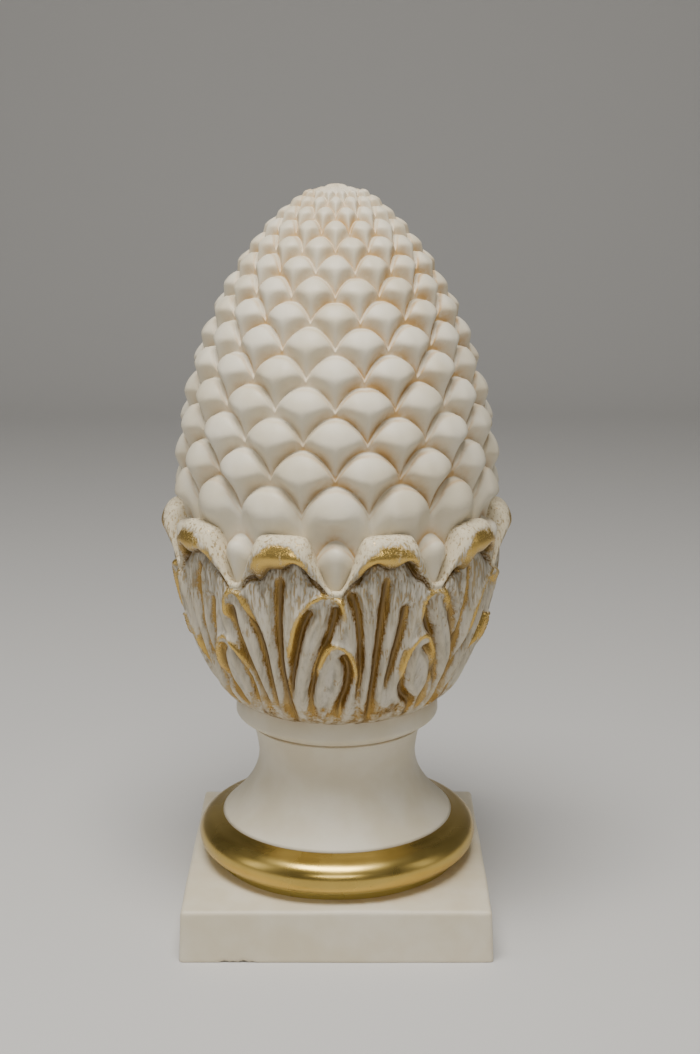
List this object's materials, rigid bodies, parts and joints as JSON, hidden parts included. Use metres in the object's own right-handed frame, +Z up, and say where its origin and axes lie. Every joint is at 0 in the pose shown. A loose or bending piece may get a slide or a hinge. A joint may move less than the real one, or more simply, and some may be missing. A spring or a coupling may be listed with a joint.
{
  "type": "artichoke finial",
  "caption": "Cast artichoke finial: a tall cone of overlapping scales in a cup of curled leaves, on a waisted neck, a gilded ring and a square plinth.",
  "frame": {"origin": "middle of the plinth's underside, on the floor", "axes": "+Z up along the finial's axis, -Y towards the front, +X to the right seen from the front"},
  "size_m": [0.1942, 0.189, 0.4066],
  "materials": {
    "painted_casting": "satin cream paint, ochre wash in the hollows, ring and leaf tips gilded"
  },
  "bodies": {
    "root": {"artichoke_finial": "painted_casting"}
  },
  "joints": []
}
